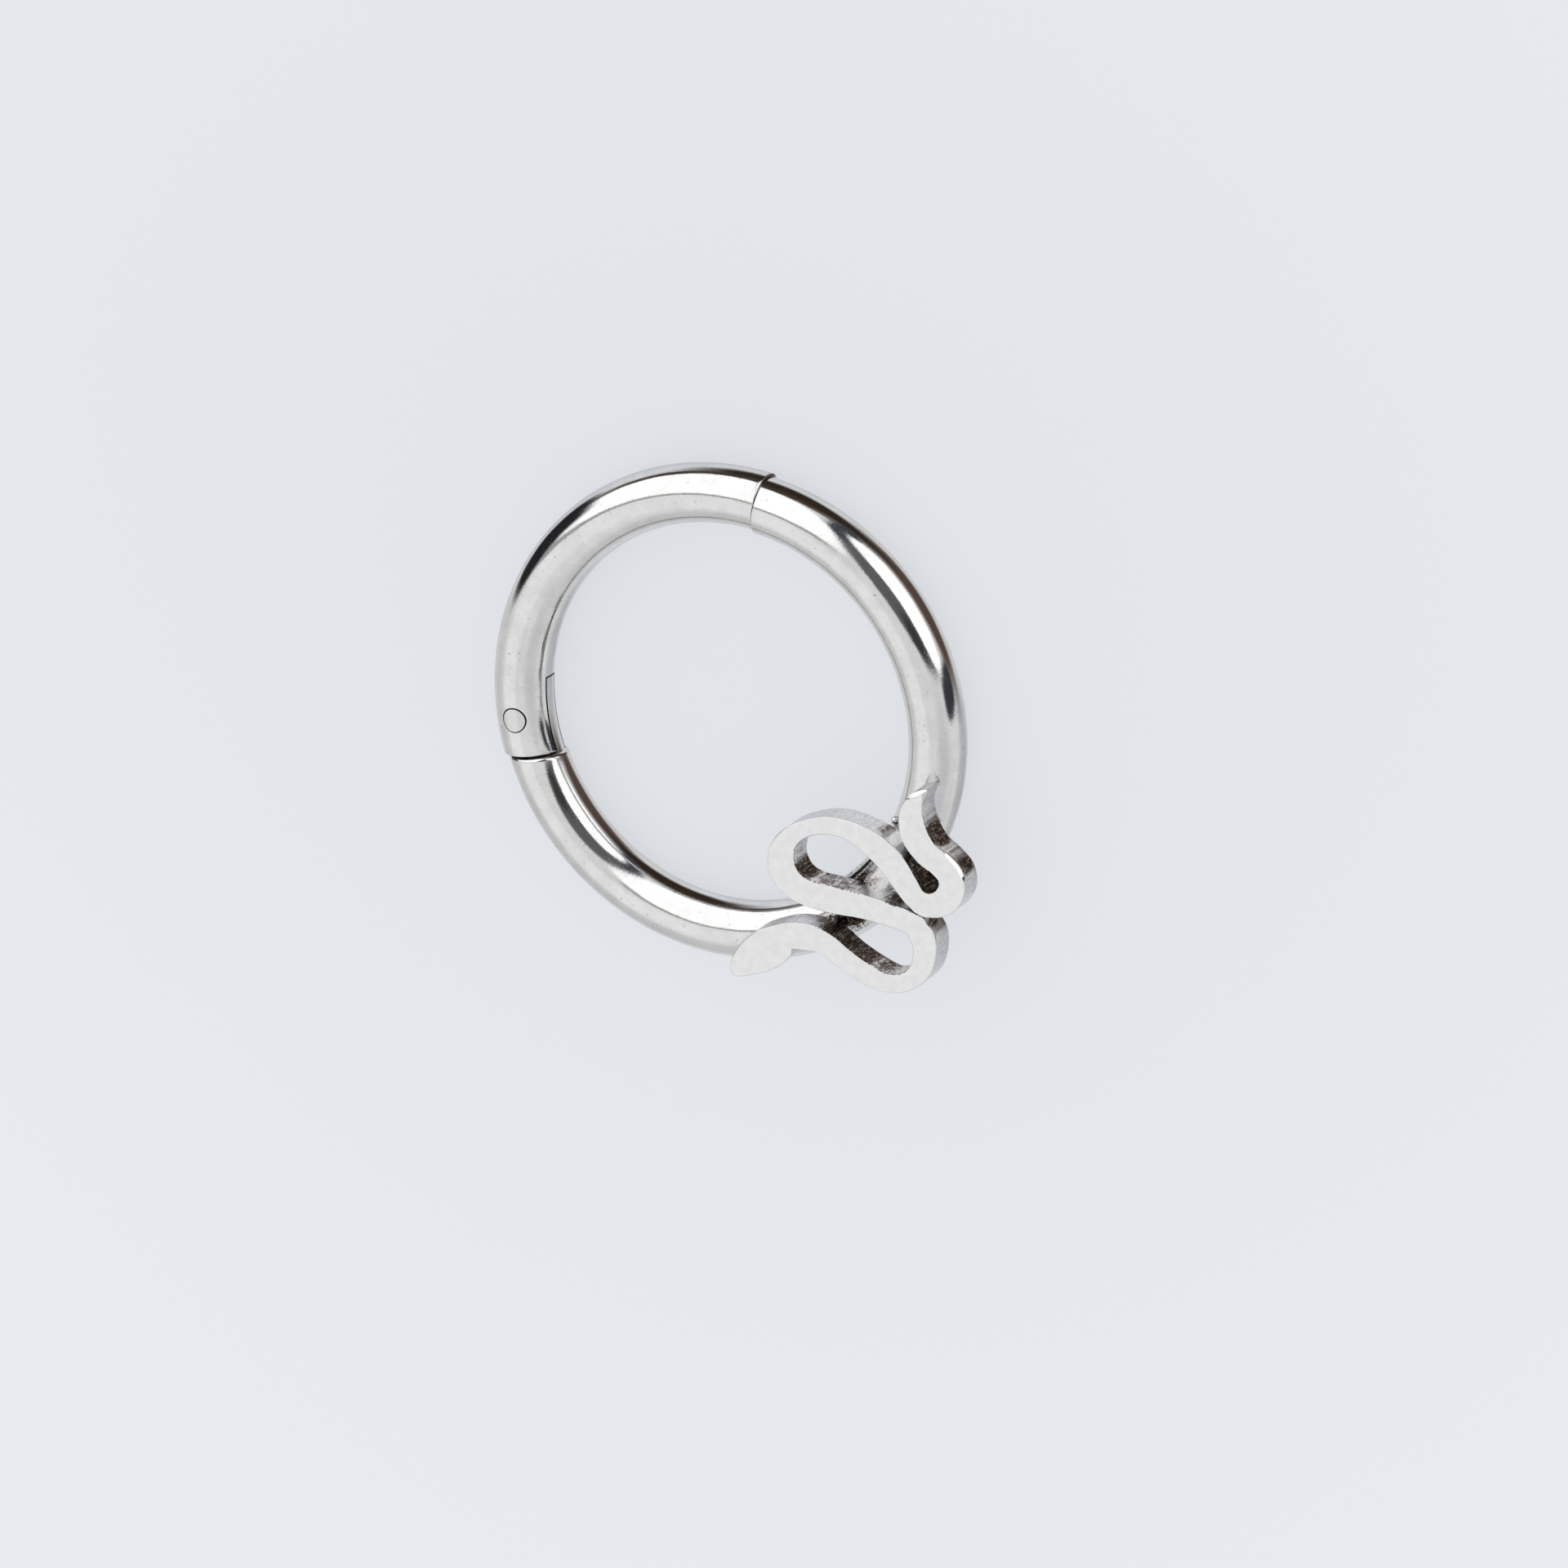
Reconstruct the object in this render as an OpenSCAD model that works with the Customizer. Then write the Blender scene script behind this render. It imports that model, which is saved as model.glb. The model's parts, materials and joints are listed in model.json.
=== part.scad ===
// Hinged segment ring for a piercing, with a flat coiled snake soldered on its front.
// The ring lies on its back: +Z points out of its front, and the floor is at z = 0.

/* [Hoop] */
// Clear diameter inside the closed ring
inner_d = 8; // [7.5:0.25:9]
// Thickness of the hoop's round wire
wire_d = 1.2; // [1.1:0.05:1.3]

/* [Gate] */
// Thickness of the gate's round wire
gate_wire_d = 1.22; // [1.2:0.01:1.3]
// How far the gate's centreline stands outside the hoop's
gate_stand = 0.07; // [0.03:0.01:0.1]
// Angle of the seam where the gate closes, counted from +X
seam_angle = 81; // [70:1:100]
// Width of the closed seam
seam_gap = 0.03; // [0.02:0.01:0.06]

/* [Hinge] */
// Angle of the hinge pin, counted from +X
pin_angle = 188.2; // [180:0.1:195]
// Diameter of the hinge pin
pin_d = 0.48; // [0.4:0.02:0.5]
// Gap around the pin, on its radius
pin_gap = 0.03; // [0.02:0.01:0.05]
// Width of the slot in the gate's forked end
slot_w = 0.4; // [0.36:0.02:0.46]
// How far the slot runs into the gate, from the pin
slot_depth = 0.8; // [0.76:0.02:0.9]
// Thickness of the hoop's tongue inside the slot
tongue_t = 0.36; // [0.3:0.02:0.36]
// How far the tongue's inner edge runs past the pin
tongue_reach = 0.7; // [0.6:0.02:0.72]
// From the pin to the forked end's flat face
fork_reach = 0.785; // [0.75:0.005:0.85]
// Gap between that face and the hoop's shoulder
shoulder_gap = 0.05; // [0.04:0.01:0.08]

/* [Catch] */
// Radius of the rounded nub that holds the gate closed
nub_r = 0.3; // [0.25:0.01:0.35]
// How far the nub stands past the middle of the seam
nub_reach = 0.1; // [0.06:0.01:0.12]

/* [Snake] */
// Thickness of the snake's plate
plate_t = 0.62; // [0.5:0.01:0.8]
// How deep the plate is soldered into the hoop's front
solder_depth = 0.05; // [0.03:0.01:0.1]
// Diameter of the solder bead beside the tail
bead_d = 0.16; // [0.12:0.02:0.2]

/* [Hidden] */
$fn = 96;

wire_r = wire_d / 2;
gate_r = gate_wire_d / 2;
hoop_bend = inner_d / 2 + wire_r;
gate_bend = hoop_bend + gate_stand;
shoulder = fork_reach + shoulder_gap;
plate_z = wire_r - solder_depth;
// Larger than the wire in every direction, for cutting right through it
past = 2;
// The half angle of the seam's gap, on the hoop's centreline
half_seam = seam_gap / 2 / hoop_bend * 180 / PI;

// The tongue is a flat slice of a slightly thinner wire than the gate's
tongue_r = wire_r - 0.04;
tongue_bend = hoop_bend + 0.02;
// Clearance between the turning fork and the hollow behind the shoulder
dish_gap = 0.03;
// Steps in the hollow's profile
dish_steps = 8;

// The snake's spine from nose to tail tip: columns are x, y and body width
SPINE = [
    [0.55, -5.13, 0.08],
    [0.61, -5.08, 0.28],
    [0.77, -4.92, 0.53],
    [1.02, -4.71, 0.75],
    [1.37, -4.47, 0.84],
    [1.75, -4.22, 0.68],
    [2.08, -4.12, 0.61],
    [2.38, -4.10, 0.55],
    [2.72, -4.20, 0.51],
    [3.12, -4.46, 0.50],
    [3.60, -4.69, 0.48],
    [4.05, -4.80, 0.41],
    [4.45, -4.70, 0.39],
    [4.75, -4.40, 0.46],
    [4.85, -4.00, 0.52],
    [4.77, -3.65, 0.58],
    [4.49, -3.43, 0.49],
    [4.00, -3.32, 0.50],
    [3.40, -3.24, 0.53],
    [2.80, -3.20, 0.60],
    [2.25, -3.14, 0.59],
    [1.88, -2.98, 0.63],
    [1.68, -2.69, 0.64],
    [1.67, -2.35, 0.56],
    [1.83, -2.03, 0.43],
    [2.19, -1.77, 0.35],
    [2.70, -1.63, 0.38],
    [3.20, -1.68, 0.43],
    [3.70, -1.90, 0.56],
    [4.11, -2.21, 0.62],
    [4.41, -2.59, 0.58],
    [4.66, -2.89, 0.52],
    [4.96, -2.98, 0.53],
    [5.26, -2.86, 0.57],
    [5.43, -2.59, 0.59],
    [5.40, -2.31, 0.58],
    [5.18, -2.08, 0.57],
    [4.87, -1.87, 0.60],
    [4.62, -1.54, 0.64],
    [4.54, -1.16, 0.55],
    [4.61, -0.85, 0.38],
    [4.77, -0.64, 0.17],
    [4.90, -0.53, 0.02]
];
// Points of the smooth curve between two rows of the spine
SPINE_STEPS = 5;
// Corners of the notch behind the jaw
NOTCH = [[1.893, -4.386], [2.4, -4.352], [2.35, -4.6], [1.862, -4.6]];
// Where the solder bead sits, on the wire between the coil and the tail
BEAD = [3.85, -1.56, 0.45];
// The lump of solder that closes the coil's narrow end from behind: middle and radii
LUMP = [4.62, -2.62, 0.36];
LUMP_R = [0.3, 0.25, 0.235];

last = len(SPINE) - 1;
// Row i of the spine, with a mirrored row past each end
function row(i) =
    i < 0 ? 2 * SPINE[0] - SPINE[1] :
    i > last ? 2 * SPINE[last] - SPINE[last - 1] :
    SPINE[i];
// The curve through rows i and i + 1, at t from 0 to 1, and its direction
function curve(i, t) =
    let (a = row(i - 1), b = row(i), c = row(i + 1), d = row(i + 2))
    (2 * b + (c - a) * t + (2 * a - 5 * b + 4 * c - d) * t * t
        + (3 * b - a - 3 * c + d) * t * t * t) / 2;
function heading(i, t) =
    let (a = row(i - 1), b = row(i), c = row(i + 1), d = row(i + 2))
    (c - a) + 2 * (2 * a - 5 * b + 4 * c - d) * t + 3 * (3 * b - a - 3 * c + d) * t * t;
// The body's edge on one side of the spine: side is 1 or -1
function edge(i, t, side) =
    let (p = curve(i, t), h = heading(i, t), len_h = norm([h.x, h.y]))
    [p.x, p.y] + side * p.z / 2 * [-h.y, h.x] / len_h;
function body_side(side) = [
    for (i = [0:last - 1], s = [0:SPINE_STEPS - 1]) edge(i, s / SPINE_STEPS, side),
    edge(last - 1, 1, side)
];
function reversed(v) = [for (i = [len(v) - 1:-1:0]) v[i]];
OUTLINE = concat(body_side(1), reversed(body_side(-1)));

// The footprint's middle, which the whole ring is moved to
snake_right = max([for (p = OUTLINE) p.x]);
mid_x = (snake_right - gate_bend - gate_r) / 2;
mid_y = (gate_bend + gate_r - hoop_bend - wire_r) / 2;

// How far a corner of the forked end reaches from the pin, at height z
function fork_sweep(z) =
    let (bend_drop = sqrt(gate_bend * gate_bend - fork_reach * fork_reach) - gate_bend)
    norm([fork_reach, bend_drop + sqrt(max(0, gate_r * gate_r - z * z))]);

module in_place() {
    translate([-mid_x, -mid_y, gate_r]) children();
}

module wire_arc(bend, r, from, to) {
    rotate([0, 0, from]) rotate_extrude(angle = to - from) translate([bend, 0]) circle(r);
}

// Local X points outwards from the pin, and local Y along the wire towards the hoop
module at_pin() {
    rotate([0, 0, pin_angle]) translate([gate_bend, 0, 0]) children();
}

module pin_bore() {
    at_pin() cylinder(h = 2 * past, r = pin_d / 2 + pin_gap, center = true);
}

module catch_ball(gap) {
    rotate([0, 0, seam_angle]) translate([(hoop_bend + gate_bend) / 2, nub_reach - nub_r, 0])
        sphere(nub_r + gap);
}

// The hollow in the shoulder that the forked end turns in, above the tongue
module shoulder_dish() {
    low = tongue_t / 2;
    profile = [for (s = [0:dish_steps]) let (z = low + (gate_r - low) * s / dish_steps)
        [fork_sweep(z) + dish_gap, z]];
    rotate_extrude() polygon(concat([[0, low]], profile, [[0, gate_r]]));
}

module tongue() {
    difference() {
        intersection() {
            wire_arc(tongue_bend, tongue_r, pin_angle - 20, pin_angle + 20);
            at_pin() linear_extrude(tongue_t, center = true) {
                circle(tongue_r);
                translate([-past, -tongue_reach]) square([past, tongue_reach + shoulder + 0.1]);
                square([past, shoulder + 0.1]);
            }
        }
        pin_bore();
    }
}

module hoop() {
    difference() {
        wire_arc(hoop_bend, wire_r, pin_angle + 4, seam_angle - half_seam + 360);
        at_pin() translate([-past, shoulder - 2 * past, -past]) cube(2 * past);
        at_pin() shoulder_dish();
        at_pin() mirror([0, 0, 1]) shoulder_dish();
    }
    intersection() {
        catch_ball(0);
        wire_arc(hoop_bend, wire_r, seam_angle - 8, seam_angle + 8);
    }
}

module snake() {
    translate([0, 0, plate_z]) linear_extrude(plate_t) difference() {
        polygon(OUTLINE);
        polygon(NOTCH);
    }
}

module hoop_with_snake() {
    color("silver") in_place() {
        hoop();
        tongue();
        snake();
        translate(BEAD) sphere(d = bead_d);
        translate(LUMP) scale(LUMP_R) sphere(1);
    }
}

module gate() {
    color("gainsboro") in_place() difference() {
        wire_arc(gate_bend, gate_r, seam_angle + half_seam, pin_angle + 15);
        at_pin() translate([-past, fork_reach, -past]) cube(2 * past);
        at_pin() translate([-past, -slot_depth, -slot_w / 2]) cube([2 * past, 2 * past, slot_w]);
        pin_bore();
        catch_ball(pin_gap);
    }
}

// The pin's ends are ground flush with the gate's round surface
module hinge_pin() {
    color("darkgray") in_place() intersection() {
        at_pin() cylinder(h = 2 * past, d = pin_d, center = true);
        wire_arc(gate_bend, gate_r - 0.01, pin_angle - 10, pin_angle + 10);
    }
}

hoop_with_snake();
gate();
hinge_pin();
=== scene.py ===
"""Looks of the hinged segment ring with a flat coiled snake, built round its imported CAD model.

Shapes are worked out in millimetres with the ring's centre at the origin, as in the part's source.
to_frame() turns them into metres in the row frame, where the ring lies on its back on the floor.
"""

import json
import math

import bpy
import numpy as np
from mathutils import Matrix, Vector
from mathutils.kdtree import KDTree


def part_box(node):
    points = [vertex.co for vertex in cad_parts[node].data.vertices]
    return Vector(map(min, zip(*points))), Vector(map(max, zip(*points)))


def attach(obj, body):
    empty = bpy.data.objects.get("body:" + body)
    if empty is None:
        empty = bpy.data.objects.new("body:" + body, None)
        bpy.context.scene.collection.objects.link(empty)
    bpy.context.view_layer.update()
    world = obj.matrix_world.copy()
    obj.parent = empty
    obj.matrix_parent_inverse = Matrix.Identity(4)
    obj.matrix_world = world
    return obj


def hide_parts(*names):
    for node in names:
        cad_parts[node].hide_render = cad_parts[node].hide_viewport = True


# Metres in a millimetre
MM = 0.001
# Two points this near to each other, in mm, are in the same place
SAME_PLACE = 0.001

# Wires: radius of each wire and of its bend, and the seam's place in degrees from +X
WIRE_R = 0.6
HOOP_BEND = 4.6
GATE_R = 0.61
GATE_BEND = 4.67
SEAM_ANGLE = 81
SEAM_GAP = 0.003
# Radius of the rounded edge at each flat end
SHOULDER_EDGE = 0.07
SEAM_EDGE = 0.015
FORK_EDGE = 0.03
# A chip in the gate's edge at the seam: middle and reach in degrees round the wire, and extra width
CHIP = (38, 14, 0.08)
# Steps round a wire, over a rounded edge and across a flat end, and rows along each wire
SIDES = 96
EDGE_STEPS = 6
END_RINGS = 40
HOOP_ROWS = 420
GATE_ROWS = 300

# Hinge, in the pin's own frame: x points outwards and y along the wire towards the hoop
PIN_ANGLE = 188.2
PIN_R = 0.245
PIN_EDGE = 0.012
PIN_EDGE_STEPS = 4
PIN_RINGS = 24
# How far the pin's ends lie under the gate's skin, and how far the pin sits off its bore's middle
PIN_SINK = 0.006
PIN_SHIFT = (0.012, 0.010)
BORE_R = 0.268
BORE_SIDES = 128
TONGUE_BORE_R = 0.27
TONGUE_BORE_SIDES = 64
FORK_REACH = 0.785
SHOULDER = 0.835
SLOT_W = 0.4
SLOT_DEPTH = 0.8
TONGUE_T = 0.32
TONGUE_R = 0.56
TONGUE_BEND = 4.62
TONGUE_REACH = 0.765
# How far the tongue runs on inside the hoop, and the levels of points over its thickness
TONGUE_ROOT = 0.1
TONGUE_LEVELS = 9
DISH_GAP = 0.03

# Catch
NUB_R = 0.3
NUB_REACH = 0.1
NUB_GAP = 0.03

# Snake
PLATE_LOW = 0.55
PLATE_T = 0.62
# Corners of the notch behind the jaw
NOTCH = [(1.862, -4.6), (2.35, -4.6), (2.4, -4.352), (1.893, -4.386)]
BEAD = (3.85, -1.56, 0.45)
BEAD_R = 0.08
EDGE_ROUNDING = 0.02
# Where the front edge is worn to a bevel: middle, reach, extra width, and drop for each mm of width
WORN = [
    (5.55, -2.03, 0.36, 0.04, 1.5),
    (4.60, -0.42, 0.40, 0.10, 0.53),
]
# Solder that ran between the wire and the plate: middle and radii
SOLDER = (4.62, -2.62, 0.36)
SOLDER_R = (0.30, 0.25, 0.235)
# The snake's spine from nose to tail tip, as in the part's source: x, y and body width
SPINE = [
    (0.55, -5.13, 0.08),
    (0.61, -5.08, 0.28),
    (0.77, -4.92, 0.53),
    (1.02, -4.71, 0.75),
    (1.37, -4.47, 0.84),
    (1.75, -4.22, 0.68),
    (2.08, -4.12, 0.61),
    (2.38, -4.10, 0.55),
    (2.72, -4.20, 0.51),
    (3.12, -4.46, 0.50),
    (3.60, -4.69, 0.48),
    (4.05, -4.80, 0.41),
    (4.45, -4.70, 0.39),
    (4.75, -4.40, 0.46),
    (4.85, -4.00, 0.52),
    (4.77, -3.65, 0.58),
    (4.49, -3.43, 0.49),
    (4.00, -3.32, 0.50),
    (3.40, -3.24, 0.53),
    (2.80, -3.20, 0.60),
    (2.25, -3.14, 0.59),
    (1.88, -2.98, 0.63),
    (1.68, -2.69, 0.64),
    (1.67, -2.35, 0.56),
    (1.83, -2.03, 0.43),
    (2.19, -1.77, 0.35),
    (2.70, -1.63, 0.38),
    (3.20, -1.68, 0.43),
    (3.70, -1.90, 0.56),
    (4.11, -2.21, 0.62),
    (4.41, -2.59, 0.58),
    (4.66, -2.89, 0.52),
    (4.96, -2.98, 0.53),
    (5.26, -2.86, 0.57),
    (5.43, -2.59, 0.59),
    (5.40, -2.31, 0.58),
    (5.18, -2.08, 0.57),
    (4.87, -1.87, 0.60),
    (4.62, -1.54, 0.64),
    (4.54, -1.16, 0.55),
    (4.61, -0.85, 0.38),
    (4.77, -0.64, 0.17),
    (4.90, -0.53, 0.02),
]
# How far the satin finish reaches down the walls of the tail's tip
TIP_REACH = 0.3
# Largest shares of the body's width that a rounded edge and a bevel take
ROUNDING_SHARE = 0.3
WEAR_SHARE = 0.4
# Steps between two rows of the spine, across the flat faces, down a wall and over a rounded edge
SPINE_STEPS = 24
FACE_STEPS = 6
WALL_STEPS = 12
ROUND_STEPS = 4
# Drag lines that the cutting left in the walls: depth, and points of the spine from line to line
DRAG_DEPTH = 0.01
DRAG_FINE = 2.2
DRAG_COARSE = 6
DRAG_SEED = 11
DRAG_COARSE_SEED = 18
# Where two bends of the body touch: middle, reach, and how far each edge grows to close the gap
TOUCH = (4.72, -3.22)
TOUCH_REACH = 0.24
TOUCH_GROWTH = 0.026
# Soot that cutting and soldering left, and painted shade in the recesses: x, y, z, radius and strength of
# each patch
SOOT_AND_SHADE = [
    (2.14, -2.70, 0.80, 0.29, 1.0),
    (1.98, -2.28, 0.80, 0.20, 0.5),
    (2.45, -2.95, 0.60, 0.14, 0.8),
    (2.80, -2.90, 0.78, 0.60, 0.68),
    (3.20, -2.95, 0.60, 0.10, 0.9),
    (3.36, -2.83, 0.80, 0.16, 0.7),
    (4.10, -3.05, 0.80, 0.26, 0.85),
    (4.60, -3.15, 0.90, 0.20, 1.0),
    (2.40, -3.72, 0.80, 0.20, 0.7),
    (2.75, -3.80, 0.80, 0.34, 0.9),
    (3.13, -4.01, 0.80, 0.40, 0.95),
    (3.50, -4.25, 0.80, 0.40, 0.88),
    (3.95, -4.42, 0.75, 0.36, 0.74),
    (5.02, -1.45, 0.90, 0.27, 1.05),
    (5.10, -1.66, 0.84, 0.15, 1.0),
    (5.68, -2.05, 0.90, 0.20, 1.3),
    (4.40, -2.25, 0.86, 0.26, 1.2),
    (4.80, -2.62, 0.80, 0.40, 1.6),
    (4.70, -2.65, 0.50, 0.36, 1.6),
    (4.97, -3.38, 0.95, 0.13, 1.0),
    (3.85, -1.60, 0.50, 0.12, 0.8),
    (3.80, -1.62, 0.80, 0.13, 0.66),
]
# How much the patches stretch down the plate's walls, and how far below the front a bevel stays clean
SOOT_AND_SHADE_STRETCH = 2.2
CLEAN_DEPTH = 0.1
# How far the lump of solder swells and shrinks, as a share of its size
SOLDER_SWELL = 0.04

# A face belongs to a wire's skin where its normal has at least this share of the outward direction
SKIN_SHARE = 0.3
# Painted shade lies on a wire's flat ends below this y, and at the seam from this far outside the bend
HINGE_TOP_Y = 3
PAINTED_SHADE_OUTWARDS = 0.46
# How much the normals of the plate's flat faces rise at least, and those of its walls at most
FLAT_RISE = 0.998
WALL_RISE = 0.15
# How much the normals in the gate's bore rise at most
BORE_RISE = 0.1
# Smooth normals are used where their cosine with the flat face's normal is above this
GATE_LIKENESS = 0.9
PLATE_LIKENESS = 0.6
# How far from the middle of a wire's end the points of its rounded edge can be
END_ZONE = 2
# Edges of the tongue that are sharper than this angle in degrees stay sharp
SHARP_ANGLE = 30

# How much light steel gives back
STEEL = (0.66, 0.657, 0.652)
# How much steel darkens towards its outline
EDGE_TINT = 0.7
# Tone and roughness of milled faces, and of the pin's drawn wire
MILLED = (0.5, 0.3)
DRAWN = (0.66, 0.16)
# The floor's painted glow, and the share of the room's light that it gives back
FLOOR_GLOW = (0.556, 0.574, 0.602)
FLOOR_LIT = 0.26
# Radius of the studio in metres
SHELL_R = 1.3
# The camera: its lens in mm, the direction that it looks from and its turn in degrees, and how far it
# stands from the origin in metres, towards the picture's right, towards its top and towards the viewer
LENS = 375
CAMERA_AZIMUTH = 39.9713
CAMERA_ELEVATION = 58.3219
CAMERA_ROLL = -125.5024
CAMERA_OFFSET = (0.00059, -0.001626, 0.33072)


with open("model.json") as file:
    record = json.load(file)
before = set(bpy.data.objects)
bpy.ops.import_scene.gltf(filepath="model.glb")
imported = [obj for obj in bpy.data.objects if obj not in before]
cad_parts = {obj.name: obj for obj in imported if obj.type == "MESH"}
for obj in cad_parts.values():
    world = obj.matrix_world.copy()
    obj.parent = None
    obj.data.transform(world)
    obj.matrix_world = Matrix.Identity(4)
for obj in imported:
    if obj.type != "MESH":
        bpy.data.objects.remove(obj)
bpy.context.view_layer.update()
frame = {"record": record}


def ring_centre():
    """The ring's centre in the row frame, in mm: the gate's box touches it on three sides."""
    low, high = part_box("gate")
    reach = GATE_BEND + GATE_R
    return np.array([low.x / MM + reach, high.y / MM - reach, low.z / MM + GATE_R])


CENTRE = ring_centre()


# Shapes


def unit(angle):
    """Direction in the ring's plane at an angle in radians, as an array of x, y, z."""
    angle = np.asarray(angle, float)
    return np.stack([np.cos(angle), np.sin(angle), np.zeros_like(angle)], -1)


class Skin:
    """A surface in the making: points in mm, faces, and a normal for each face's corner."""

    def __init__(self):
        self.points = []
        self.faces = []
        self.normals = []
        self.count = 0

    def grid(self, points, normals=None):
        """Adds a grid of quads. Where no normals are given, the faces are flat."""
        rows, columns = points.shape[:2]
        index = self.count + np.arange(rows * columns).reshape(rows, columns)
        corners = (index[:-1, :-1], index[1:, :-1], index[1:, 1:], index[:-1, 1:])
        faces = np.stack(corners, -1).reshape(-1, 4)
        flat_points = points.reshape(-1, 3)
        if normals is None:
            own = flat_points[faces - self.count]
            face_normals = np.cross(own[:, 2] - own[:, 0], own[:, 3] - own[:, 1])
            sizes = np.linalg.norm(face_normals, axis=1, keepdims=True)
            face_normals /= np.maximum(sizes, 1e-12)
            corner_normals = np.repeat(face_normals[:, None], 4, axis=1)
        else:
            corner_normals = np.broadcast_to(normals, points.shape).reshape(-1, 3)[faces - self.count]
        self.points.append(flat_points)
        self.faces.append(faces)
        self.normals.append(corner_normals)
        self.count += len(flat_points)

    def welded(self):
        """Points with doubles merged, faces as lists that face outwards, and a normal for each corner."""
        points = np.concatenate(self.points)
        faces = np.concatenate(self.faces)
        normals = np.concatenate(self.normals)
        _, first, merged = np.unique(
            np.round(points, 5), axis=0, return_index=True, return_inverse=True
        )
        points = points[first]
        faces = merged.reshape(-1)[faces]
        across = np.cross(
            points[faces[:, 2]] - points[faces[:, 0]], points[faces[:, 3]] - points[faces[:, 1]]
        )
        inward = (across * normals.mean(1)).sum(1) < 0
        faces[inward] = faces[inward][:, ::-1]
        normals[inward] = normals[inward][:, ::-1]
        kept_faces = []
        kept_normals = []
        for face, corner_normals in zip(faces.tolist(), normals):
            if len(set(face)) < 3:
                continue
            kept = [k for k in range(4) if face[k] != face[k - 1]]
            kept_faces.append([face[k] for k in kept])
            kept_normals.extend(corner_normals[k] for k in kept)
        return points, kept_faces, np.array(kept_normals)


def new_piece(name, points, faces):
    """A new mesh object in the scene."""
    mesh = bpy.data.meshes.new(name)
    mesh.from_pydata(np.asarray(points).tolist(), [], faces, shade_flat=False)
    piece = bpy.data.objects.new(name, mesh)
    bpy.context.scene.collection.objects.link(piece)
    return piece


def from_skin(name, skin):
    """A new piece with a skin's own normals."""
    points, faces, normals = skin.welded()
    piece = new_piece(name, points, faces)
    piece.data.normals_split_custom_set(normals.tolist())
    return piece


def all_points(mesh):
    """A mesh's points as rows of x, y, z."""
    points = np.zeros(len(mesh.vertices) * 3)
    mesh.vertices.foreach_get("co", points)
    return points.reshape(-1, 3)


def corner_points(mesh):
    """The number of the point at each corner of each face."""
    numbers = np.zeros(len(mesh.loops), int)
    mesh.loops.foreach_get("vertex_index", numbers)
    return numbers


def flat_normals(mesh):
    """Each corner's normal as its flat face has it."""
    totals = np.zeros(len(mesh.polygons), int)
    mesh.polygons.foreach_get("loop_total", totals)
    normals = np.zeros(len(mesh.polygons) * 3)
    mesh.polygons.foreach_get("normal", normals)
    return np.repeat(normals.reshape(-1, 3), totals, axis=0)


def cut(piece, tools):
    """Cuts tools out of a piece and removes them."""
    for tool in tools:
        modifier = piece.modifiers.new("cut", "BOOLEAN")
        modifier.operation = "DIFFERENCE"
        modifier.solver = "EXACT"
        modifier.object = tool
    depsgraph = bpy.context.evaluated_depsgraph_get()
    made = bpy.data.meshes.new_from_object(piece.evaluated_get(depsgraph))
    piece.modifiers.clear()
    piece.data = made
    for tool in tools:
        bpy.data.objects.remove(tool)


def to_frame(piece):
    """Moves a piece's points from mm round the ring's centre to metres in the row frame."""
    piece.data.transform(Matrix.Scale(MM, 4) @ Matrix.Translation(CENTRE.tolist()))


def turned_at_pin(directions):
    """Directions in the pin's own frame, as they are on the ring."""
    turned = Matrix.Rotation(math.radians(PIN_ANGLE), 3, "Z")
    return np.asarray(directions, float) @ np.array(turned).T


def at_pin(points):
    """Points in the pin's own frame, moved to their place on the ring."""
    return turned_at_pin(np.asarray(points, float) + [GATE_BEND, 0, 0])


def pin_matrix():
    """The same move as a matrix."""
    turned = Matrix.Rotation(math.radians(PIN_ANGLE), 4, "Z")
    return turned @ Matrix.Translation((GATE_BEND, 0, 0))


def prism(name, outline, low, high):
    """A closed block with the given outline, from height low to high."""
    count = len(outline)
    bottom = [(x, y, low) for x, y in outline]
    top = [(x, y, high) for x, y in outline]
    walls = [[i, (i + 1) % count, count + (i + 1) % count, count + i] for i in range(count)]
    faces = walls + [list(range(count))[::-1], list(range(count, 2 * count))]
    return new_piece(name, bottom + top, faces)


def circle_outline(radius, count):
    """Points of a circle round the origin."""
    turns = np.arange(count) * 2 * math.pi / count
    return [(radius * math.cos(t), radius * math.sin(t)) for t in turns]


class End:
    """A flat end of a wire, parallel to the radial plane at `angle` and `offset` mm along the ring from it.
    `sense` is 1 where the wire lies at greater angles than its end, and -1 where it lies at smaller ones."""

    def __init__(self, angle, offset, sense, edge, chip=None):
        self.angle = math.radians(angle)
        self.offset = offset
        self.sense = sense
        self.edge = edge
        self.chip = chip
        self.outward = -sense * unit(self.angle + math.pi / 2)

    def edge_at(self, side):
        """Radius of the rounded edge at an angle round the wire. A chip makes it wider in one place."""
        if not self.chip:
            return self.edge + 0 * side
        middle, reach, extra = self.chip
        nearness = np.clip(1 - np.abs(side - math.radians(middle)) / math.radians(reach), 0, 1)
        return self.edge + extra * np.sqrt(nearness)

    def turn(self, rho, inset):
        """Angle round the ring of a point at radius rho that lies inset mm inside the end's plane."""
        return self.angle + np.arcsin((self.offset + self.sense * inset) / rho)


def on_wire(bend, radius, turn, side):
    """Points and normals of a round wire, from the angle round the ring and the angle round the wire."""
    outward = unit(turn)
    up = np.array([0, 0, 1.0])
    normals = np.cos(side)[..., None] * outward + np.sin(side)[..., None] * up
    points = bend * outward + np.asarray(radius)[..., None] * normals
    return points, normals


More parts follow.
